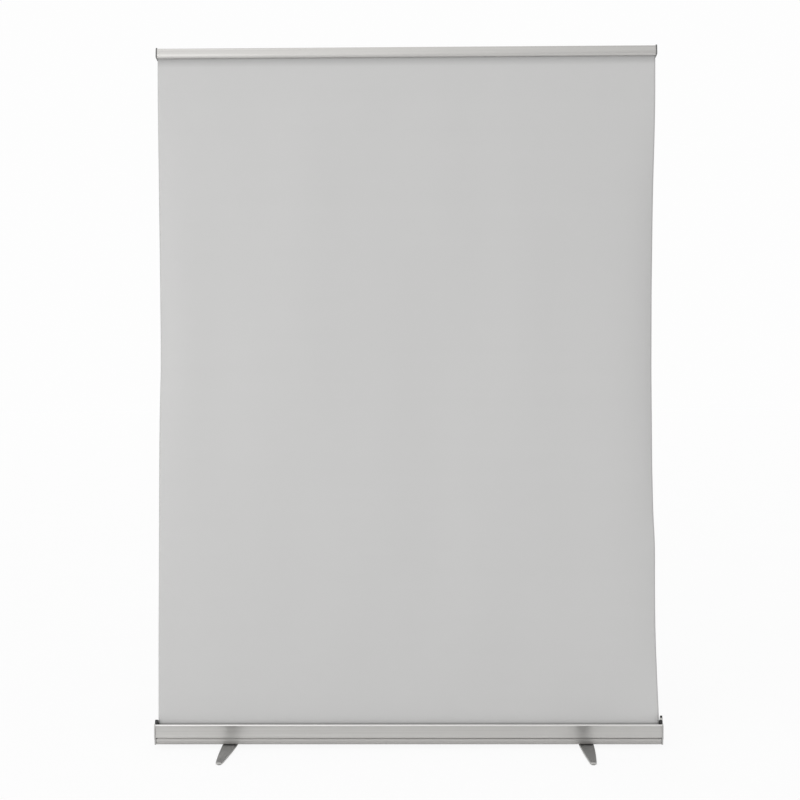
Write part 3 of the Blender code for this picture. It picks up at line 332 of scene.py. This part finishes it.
def paint(name, colour, rough, metallic=0.0, grain=1400.0, edge=None, painted_light_sides=None):
    """Powder coat or paint: orange peel, a little dust and uneven gloss.

    edge is the metal that shows in chips; the last argument is painted light, a lighter colour for
    upright faces than for the top.
    """
    material, tree, shader = start_material(name, metallic)
    peel = noise(tree, (grain,) * 3, detail=3.0)
    patches = noise(tree, (28.0,) * 3, detail=4.0, roughness=0.6)
    base = tint(tree, patches, tuple(c * 0.93 for c in colour), tuple(c * 1.06 for c in colour))
    specks = spread(tree, noise(tree, (3400.0,) * 3, detail=1.0), 0.0, 0.6, 0.60, 0.78)
    base = overlay(tree, base, tuple(min(1.0, c * 1.35 + 0.01) for c in colour), specks)
    if edge is not None:
        chips = spread(tree, noise(tree, (120.0,) * 3, detail=6.0, roughness=0.75),
                       0.0, 0.8, 0.70, 0.78)
        base = overlay(tree, base, edge, chips)
    # painted light: upright faces lighter than the top
    if painted_light_sides is not None:
        facing = tree.nodes.new("ShaderNodeNewGeometry")
        up = tree.nodes.new("ShaderNodeSeparateXYZ")
        tree.links.new(facing.outputs["True Normal"], up.inputs["Vector"])
        base = overlay(tree, base, painted_light_sides, spread(tree, up.outputs["Z"], 1.0, 0.0, 0.35, 0.80))
    roughness = spread(tree, patches, rough - 0.05, rough + 0.08)
    wire_up(tree, shader, base, roughness, bump(tree, peel, 0.00005, 0.5))
    return material


def moulded_plastic(name, colour, rough, grain=2200.0):
    """Injection-moulded part: spark-eroded grain, faint flow marks and dust in the hollows."""
    material, tree, shader = start_material(name)
    pits = cells(tree, (grain,) * 3)
    flow = noise(tree, (22.0, 22.0, 60.0), detail=3.0, roughness=0.6)
    dust = noise(tree, (160.0,) * 3, detail=5.0, roughness=0.7)
    base = tint(tree, flow, tuple(c * 0.82 for c in colour), tuple(c * 1.18 for c in colour))
    base = overlay(tree, base, tuple(min(1.0, c * 1.3 + 0.03) for c in colour),
                   spread(tree, dust, 0.0, 0.45, 0.52, 0.80))
    roughness = spread(tree, flow, rough - 0.06, rough + 0.08)
    wire_up(tree, shader, base, roughness, bump(tree, pits, 0.00006, 0.6))
    return material


def plated_steel(name, colour, rough, spangle=0.0):
    """Zinc plated or galvanised steel, with a clouded coat and fine scratches."""
    material, tree, shader = start_material(name, metallic=1.0)
    coat = noise(tree, (240.0,) * 3, detail=4.0, roughness=0.6)
    base = tint(tree, coat, tuple(c * 0.86 for c in colour), tuple(min(1.0, c * 1.08) for c in colour))
    if spangle:
        crystals = cells(tree, (150.0,) * 3, output="Color")
        base = overlay(tree, base, crystals, spangle, kind="SOFT_LIGHT")
    scratches = noise(tree, (60.0, 1800.0, 1800.0), detail=4.0, roughness=0.7)
    roughness = spread(tree, coat, rough - 0.06, rough + 0.12)
    wire_up(tree, shader, base, roughness, bump(tree, scratches, 0.00002, 0.5))
    return material


def rubber(name):
    material, tree, shader = start_material(name)
    grain = noise(tree, (1800.0,) * 3, detail=4.0, roughness=0.7)
    dust = noise(tree, (90.0,) * 3, detail=5.0, roughness=0.65)
    base = tint(tree, dust, (0.018, 0.018, 0.018), (0.060, 0.058, 0.055), 0.35, 0.80)
    wire_up(tree, shader, base, spread(tree, grain, 0.72, 0.92), bump(tree, grain, 0.0001, 0.7))
    return material


def painted_shadow(tree, base, colour):
    """Painted shadow: darker lines where the film leaves the cassette and under the rail that holds it.
    """
    place = place_of(tree)
    for height, fade, left in PAINTED_SHADOW_LINES:
        share = spread(tree, place["Z"], 1.0, 0.0, height, height + fade)
        base = overlay(tree, base, tuple(c * left for c in colour), share)
    return base


def banner_film(name, colour, rough):
    """Matte polyester film: coated grain, faint bands from the roll and soft clouds of tone."""
    material, tree, shader = start_material(name)
    grain = noise(tree, (2600.0,) * 3, detail=2.0)
    weave = noise(tree, (900.0, 40.0, 240.0), detail=3.0, roughness=0.6)
    bands = noise(tree, (0.35, 1.0, 16.0), detail=4.0, roughness=0.6)
    clouds = noise(tree, (2.2, 1.0, 1.1), detail=2.0)
    base = tint(tree, clouds, tuple(c * 0.988 for c in colour), tuple(c * 1.010 for c in colour))
    base = overlay(tree, base, tuple(c * 0.97 for c in colour), spread(tree, bands, 0.0, 0.35))
    base = overlay(tree, base, tuple(min(1.0, c * 1.05) for c in colour),
                   spread(tree, grain, 0.0, 0.35, 0.45, 0.75))
    # painted shadow at the foot and the top of the film
    base = painted_shadow(tree, base, colour)
    roughness = spread(tree, weave, rough - 0.04, rough + 0.05)
    normal = bump(tree, grain, 0.00003, 0.4)
    normal = bump(tree, weave, 0.00004, 0.25, after=normal)
    shader.inputs["Specular IOR Level"].default_value = 0.35
    wire_up(tree, shader, base, roughness, normal)
    return material


def make_finishes():
    aluminium = (0.76, 0.75, 0.73)
    return {
        "extrusion": extruded_aluminium("anodised_extrusion", 0, aluminium, 0.36),
        "cassette": extruded_aluminium("anodised_cassette", 0, (0.685, 0.676, 0.658), 0.36,
                                       painted_light_and_shade=cassette_painted_light_and_shade),
        "jaw": extruded_aluminium("anodised_jaw", 0, (0.58, 0.571, 0.555), 0.44, painted_light_and_shade=jaw_painted_light),
        "tube": extruded_aluminium("anodised_tube", 2, (0.64, 0.635, 0.62), 0.34),
        "end_plate": paint("silver_powder_coat", (0.50, 0.495, 0.485), 0.46, metallic=0.35),
        # the foot's lighter upright faces are painted light
        "foot": paint("satin_grey_paint", (0.235, 0.233, 0.228), 0.42, metallic=0.45,
                      edge=(0.34, 0.335, 0.32), painted_light_sides=(0.50, 0.495, 0.48)),
        "black": moulded_plastic("black_nylon_grained", (0.022, 0.022, 0.023), 0.50),
        "grey": moulded_plastic("grey_nylon_grained", (0.165, 0.163, 0.160), 0.48),
        "white": moulded_plastic("white_acetal", (0.72, 0.72, 0.69), 0.38),
        "zinc": plated_steel("zinc_plated_steel", (0.58, 0.575, 0.555), 0.28),
        "galvanised": plated_steel("galvanised_roller", (0.50, 0.51, 0.52), 0.34, spangle=0.35),
        "rubber": rubber("foot_rubber"),
        "film": banner_film("matte_grey_film", (0.548, 0.546, 0.542), 0.56),
        "film_back": banner_film("film_block_out_back", (0.50, 0.50, 0.50), 0.62),
    }


def finish_of(node):
    """The finish of a CAD node, by what it is made of."""
    names = (
        ("cassette_profile", "cassette"), ("cassette_end_plate", "end_plate"),
        ("bearing_plate", "black"), ("end_plate_screw", "zinc"), ("pole_socket", "black"),
        ("foot_bolt", "zinc"), ("foot_nut", "zinc"), ("foot_washer", "black"),
        ("foot_pad", "rubber"), ("foot_", "foot"), ("roller_tube", "galvanised"),
        ("graphic_roll", "film_back"), ("roller_plug", "white"), ("roller_axle", "zinc"),
        ("spring_shaft", "zinc"), ("spring_anchor", "white"), ("torsion_spring", "zinc"),
        ("locking_pin_cap", "black"), ("locking_pin", "zinc"), ("pole_lower_collar", "black"),
        ("pole_upper_collar", "black"), ("pole_middle_bush", "black"),
        ("pole_upper_bush", "black"), ("pole_foot_plug", "black"), ("pole_head", "black"),
        ("pole_", "tube"), ("rail_body", "extrusion"), ("rail_jaw", "jaw"),
        ("rail_cap", "grey"), ("graphic", "film"),
    )
    return next(finish for start, finish in names if node.startswith(start))


# ---------------------------------------------------------------- carried-over pieces
def soften(obj, width):
    """Join the node's loose triangles, break its sharp edges and shade its round stretches."""
    weld = obj.modifiers.new("weld", "WELD")
    weld.merge_threshold = WELD_DISTANCE
    flat = obj.modifiers.new("flat_faces", "DECIMATE")
    flat.decimate_type = "DISSOLVE"
    flat.angle_limit = math.radians(FLAT_ANGLE)
    if width:
        bevel = obj.modifiers.new("edge_break", "BEVEL")
        bevel.width = width
        bevel.segments = 2
        bevel.limit_method = "ANGLE"
        bevel.angle_limit = math.radians(BREAK_ANGLE)
        bevel.use_clamp_overlap = True
        weighted = obj.modifiers.new("weighted_normals", "WEIGHTED_NORMAL")
        weighted.weight = 60
    else:
        split_edges(obj, SPLIT_ANGLE)


def dress_nodes(finishes):
    for name, obj in NODES.items():
        obj.material_slots[0].material = finishes[finish_of(name)]
        normals = obj.data.attributes.get("custom_normal")
        if normals is not None:
            obj.data.attributes.remove(normals)
        obj.data.shade_smooth()
        width = next((w for start, w in EDGE_BREAK.items() if name.startswith(start)), 0.0)
        soften(obj, width)


# ---------------------------------------------------------------- detail pieces
def stand_in(name, bm, finish, body, node):
    """A detail piece with crisp edges, in place of its plain node."""
    bmesh.ops.recalc_face_normals(bm, faces=bm.faces)
    piece = new_object(name, bm, (finish,))
    piece.data.shade_smooth()
    split_edges(piece, CRISP_ANGLE)
    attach(piece, body)
    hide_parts(node)


def grip_ring(bm, centre, radius, height, ribbed):
    """A ring of the collar at one height. The valleys between its ribs lie below the radius."""
    ring = []
    for i in range(GRIP_RIBS * RIB_POINTS):
        angle = math.tau * i / (GRIP_RIBS * RIB_POINTS)
        valley = GRIP_RIB_DEPTH if ribbed and i % RIB_POINTS >= RIB_POINTS // 2 else 0.0
        r = radius - valley
        ring.append(bm.verts.new((centre.x + r * math.cos(angle), centre.y + r * math.sin(angle),
                                  height)))
    return ring


def make_grip(node, body, bores, finish):
    """A twist collar with a ribbed grip."""
    wide_bore, narrow_bore = bores
    low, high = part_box(node)
    foot, top = low.z, high.z
    radius = (high.x - low.x) / 2
    levels = (
        (wide_bore, foot, False),
        (radius - GRIP_LEAD_IN[0], foot, False),
        (radius, foot + GRIP_LEAD_IN[1], False),
        (radius, foot + RIBS_FROM, False),
        (radius, foot + RIBS_FROM + RIB_RUNOUT, True),
        (radius, foot + RIBS_TO - RIB_RUNOUT, True),
        (radius, foot + RIBS_TO, False),
        (radius, top - GRIP_NOSE[1], False),
        (narrow_bore + GRIP_NOSE[0], top, False),
        (narrow_bore, top, False),
        (narrow_bore, foot + BORE_STEP, False),
        (wide_bore, foot + BORE_STEP, False),
    )
    bm = bmesh.new()
    rings = [grip_ring(bm, (low + high) / 2, r, z, ribbed) for r, z, ribbed in levels]
    for lower, upper in zip(rings, rings[1:] + rings[:1]):
        bridge(bm, lower, upper)
    stand_in(node + "_grip", bm, finish, body, node)


def cross_outline(reach):
    """The twelve corners of the recess, as (y, z) about the screw's axis."""
    h = CROSS_HALF
    return ((h, h), (reach, h), (reach, -h), (h, -h), (h, -reach), (-h, -reach),
            (-h, -h), (-reach, -h), (-reach, h), (-h, h), (-h, reach), (h, reach))


def make_screw(node, finish):
    """A countersunk end-plate screw with a cross recess."""
    low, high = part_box(node)
    centre = (low + high) / 2
    radius = (high.z - low.z) / 2
    outwards = 1.0 if centre.x > 0.0 else -1.0
    head, tip = (high.x, low.x) if outwards > 0.0 else (low.x, high.x)
    shank = radius - SCREW_SHOULDER
    profile = ((shank * SCREW_TIP, tip), (shank, tip + outwards * SCREW_CONE),
               (shank, head - outwards * SCREW_CONE), (radius, head))
    bm = bmesh.new()

    def points_about_axis(x, outline):
        return [bm.verts.new((x, centre.y + y, centre.z + z)) for y, z in outline]

    circle = [(math.cos(math.tau * i / SCREW_SIDES), math.sin(math.tau * i / SCREW_SIDES))
              for i in range(SCREW_SIDES)]
    rings = [points_about_axis(x, [(r * c, r * s) for c, s in circle]) for r, x in profile]
    bm.faces.new(rings[0])
    for lower, upper in zip(rings, rings[1:]):
        bridge(bm, lower, upper)
    cross = cross_outline(radius * CROSS_REACH)
    top = points_about_axis(head, cross)
    floor = points_about_axis(head - outwards * CROSS_DEPTH,
                              [(y * CROSS_TAPER, z * CROSS_TAPER) for y, z in cross])
    bridge(bm, top, floor)
    bm.faces.new(floor)
    rims = [bm.edges.get((ring[i], ring[(i + 1) % len(ring)]))
            for ring in (rings[-1], top) for i in range(len(ring))]
    bmesh.ops.triangle_fill(bm, edges=rims, use_beauty=True)
    stand_in(node + "_cross_head", bm, finish, "stand", node)


def make_details(finishes):
    for side in ("left", "right"):
        for level, bores in COLLAR_BORES.items():
            make_grip(f"pole_{level}_collar_{side}", f"{level}_collar_{side}", bores,
                      finishes["black"])
        for number in (1, 2, 3):
            make_screw(f"end_plate_screw_{side}_{number}", finishes["zinc"])


# ---------------------------------------------------------------- film
def edge_turn(side, heights):
    """Angle of one edge at each height, in radians, softened along the height."""
    known = np.array(CURL_TURN[side])
    shifts = np.linspace(-CURL_SOFTEN, CURL_SOFTEN, 9)
    degrees = np.mean([np.interp(heights + s, known[:, 0], known[:, 1]) for s in shifts], axis=0)
    return np.radians(degrees)


def film_half(side, heights, half_width):
    """Distance out and distance back of each column, from the middle to one edge."""
    steps = np.linspace(0.0, half_width, FILM_COLUMNS // 2 + 1)
    middles = (steps[1:] + steps[:-1]) / 2
    zone = CURL_ZONE[side]
    share = np.clip((middles - (half_width - zone)) / zone, 0.0, 1.0) ** CURL_POWER
    turn = edge_turn(side, heights)[:, None] * share
    step = steps[1] - steps[0]
    start = np.zeros((len(heights), 1))
    out = np.hstack([start, np.cumsum(np.cos(turn) * step, axis=1)])
    back = np.hstack([start, np.cumsum(np.sin(turn) * step, axis=1)])
    return out, back


def make_film(finishes):
    """The graphic: one sheet from the roll's front up to the clamp, with curled edges."""
    low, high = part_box("graphic")
    rail_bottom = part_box("rail_jaw")[0].z
    lip_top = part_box("cassette_profile")[1].z
    foot_y, top_y = low.y + FILM_THICK / 2, high.y - FILM_THICK / 2
    heights = np.concatenate([np.linspace(low.z, rail_bottom, FILM_ROWS), [high.z]])
    line = foot_y + (top_y - foot_y) * np.clip((heights - low.z) / (rail_bottom - low.z), 0, 1)
    free = (smoothstep((heights - lip_top - WAVE_START) / WAVE_RISE)
            * smoothstep((rail_bottom - heights) / WAVE_FALL))
    halves = {side: film_half(side, heights, high.x) for side in CURL_TURN}
    left_out, left_back = halves["left"]
    right_out, right_back = halves["right"]
    across = np.hstack([-left_out[:, :0:-1], right_out])
    behind = np.hstack([left_back[:, :0:-1], right_back])
    for depth, wavelength, lean, phase in FILM_WAVES:
        wave = np.sin(math.tau * (across + lean * heights[:, None]) / wavelength + phase)
        behind = behind + depth * wave * free[:, None]
    bm = bmesh.new()
    rows = []
    for r, height in enumerate(heights):
        rows.append([bm.verts.new((across[r, c], line[r] + behind[r, c], height))
                     for c in range(across.shape[1])])
    for lower, upper in zip(rows, rows[1:]):
        for c in range(len(lower) - 1):
            bm.faces.new((lower[c], lower[c + 1], upper[c + 1], upper[c])).smooth = True
    film = new_object("graphic_film_sheet", bm, (finishes["film"], finishes["film_back"]))
    thickness = film.modifiers.new("thickness", "SOLIDIFY")
    thickness.thickness = FILM_THICK
    thickness.offset = 0.0
    thickness.material_offset = 1
    thickness.material_offset_rim = 1
    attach(film, "stand")
    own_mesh(film)
    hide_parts("graphic")
    return film


# ---------------------------------------------------------------- studio
def make_camera():
    yaw, pitch, roll = (math.radians(a) for a in (CAMERA_YAW, CAMERA_PITCH, CAMERA_ROLL))
    forward = Vector((-math.sin(yaw) * math.cos(pitch), math.cos(yaw) * math.cos(pitch),
                      math.sin(pitch)))
    right = Vector((math.cos(yaw), math.sin(yaw), 0.0))
    up = right.cross(forward)
    turned_right = right * math.cos(roll) + up * math.sin(roll)
    turned_up = up * math.cos(roll) - right * math.sin(roll)
    data = bpy.data.cameras.new("camera")
    data.sensor_width = SENSOR
    data.lens = CAMERA_LENS
    data.clip_end = FAR_CLIP
    camera = bpy.data.objects.new("camera", data)
    columns = Matrix((turned_right, turned_up, -forward)).transposed()
    camera.matrix_world = Matrix.Translation(CAMERA_PLACE) @ columns.to_4x4()
    bpy.context.scene.collection.objects.link(camera)
    bpy.context.scene.camera = camera


def soft_box(name, place, target, width, height, power):
    data = bpy.data.lights.new(name, "AREA")
    data.shape = "RECTANGLE"
    data.size, data.size_y = width, height
    data.energy = power
    light = bpy.data.objects.new(name, data)
    light.location = place
    light.rotation_euler = (Vector(target) - Vector(place)).to_track_quat("-Z", "Y").to_euler()
    bpy.context.scene.collection.objects.link(light)


def make_world():
    """Soft surround: brightest high on the left, dimmest low on the right, white backdrop."""
    world = bpy.data.worlds.new("studio")
    bpy.context.scene.world = world
    world.use_nodes = True
    tree = world.node_tree
    background = tree.nodes["Background"]
    coords = tree.nodes.new("ShaderNodeTexCoord")
    towards = tree.nodes.new("ShaderNodeVectorMath")
    towards.operation = "DOT_PRODUCT"
    tree.links.new(coords.outputs["Generated"], towards.inputs[0])
    towards.inputs[1].default_value = Vector(BRIGHT_SIDE).normalized()
    glow = tint(tree, spread(tree, towards.outputs["Value"], 0.0, 1.0, -1.0, 1.0),
                (SURROUND_DIM,) * 3, (SURROUND_BRIGHT,) * 3, *SURROUND_FADE)
    seen = tree.nodes.new("ShaderNodeLightPath")
    tree.links.new(overlay(tree, glow, (BACKDROP,) * 3, seen.outputs["Is Camera Ray"]),
                   background.inputs["Color"])


def make_floor():
    """Pale studio floor. It looks nearly white, and gives back less light than it shows."""
    bm = bmesh.new()
    bmesh.ops.create_circle(bm, cap_ends=True, radius=FLOOR_RADIUS, segments=96)
    material, tree, shader = start_material("pale_floor")
    mottle = noise(tree, (3.0,) * 3, detail=3.0)
    pale = tint(tree, mottle, (0.072, 0.072, 0.072), (0.076, 0.076, 0.076))
    seen = tree.nodes.new("ShaderNodeLightPath")
    tree.links.new(overlay(tree, tint(tree, mottle, (0.84,) * 3, (0.86,) * 3), pale,
                           seen.outputs["Is Camera Ray"]), shader.inputs["Base Color"])
    shader.inputs["Roughness"].default_value = 0.85
    shader.inputs["Specular IOR Level"].default_value = 0.1
    shader.inputs["Emission Color"].default_value = (1.0, 1.0, 1.0, 1.0)
    glow = spread(tree, seen.outputs["Is Camera Ray"], 0.0, FLOOR_GLOW, 0.0, 1.0)
    tree.links.new(glow, shader.inputs["Emission Strength"])
    floor = new_object("studio_floor", bm, (material,))


def make_studio():
    scene = bpy.context.scene
    scene.view_settings.view_transform = "Standard"
    scene.view_settings.look = "None"
    make_world()
    make_floor()
    for box in SOFT_BOXES:
        soft_box(*box)


# ---------------------------------------------------------------- build
make_camera()
make_studio()
FINISHES = make_finishes()
dress_nodes(FINISHES)
make_film(FINISHES)
make_details(FINISHES)
